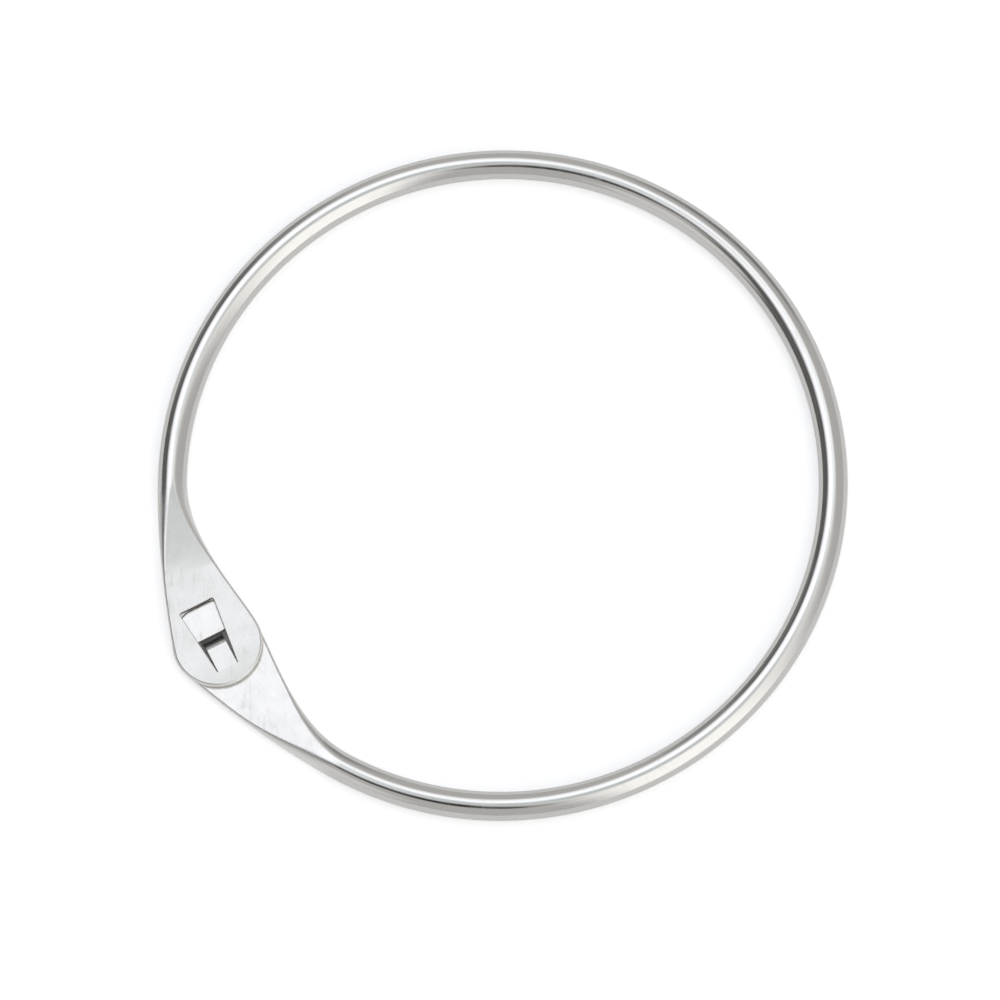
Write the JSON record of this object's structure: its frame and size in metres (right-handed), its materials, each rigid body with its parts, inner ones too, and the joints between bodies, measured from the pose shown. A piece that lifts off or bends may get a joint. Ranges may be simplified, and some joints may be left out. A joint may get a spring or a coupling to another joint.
{
  "type": "key ring",
  "caption": "Large round steel wire ring that holds keys, with flattened, lapped ends closed by a hook through a slot.",
  "frame": {"origin": "centre of the ring, half-way up the wire", "axes": "+Z square to the ring, out of the side that shows the hook's window; the clasp is 210 degrees round from +X"},
  "size_m": [0.0762, 0.0762, 0.0032],
  "materials": {
    "nickel_plated_steel": "bright nickel plate on steel wire; polished round wire, pressed satin faces on the two tongues"
  },
  "bodies": {
    "root": {"key_ring": "nickel_plated_steel"}
  },
  "joints": []
}
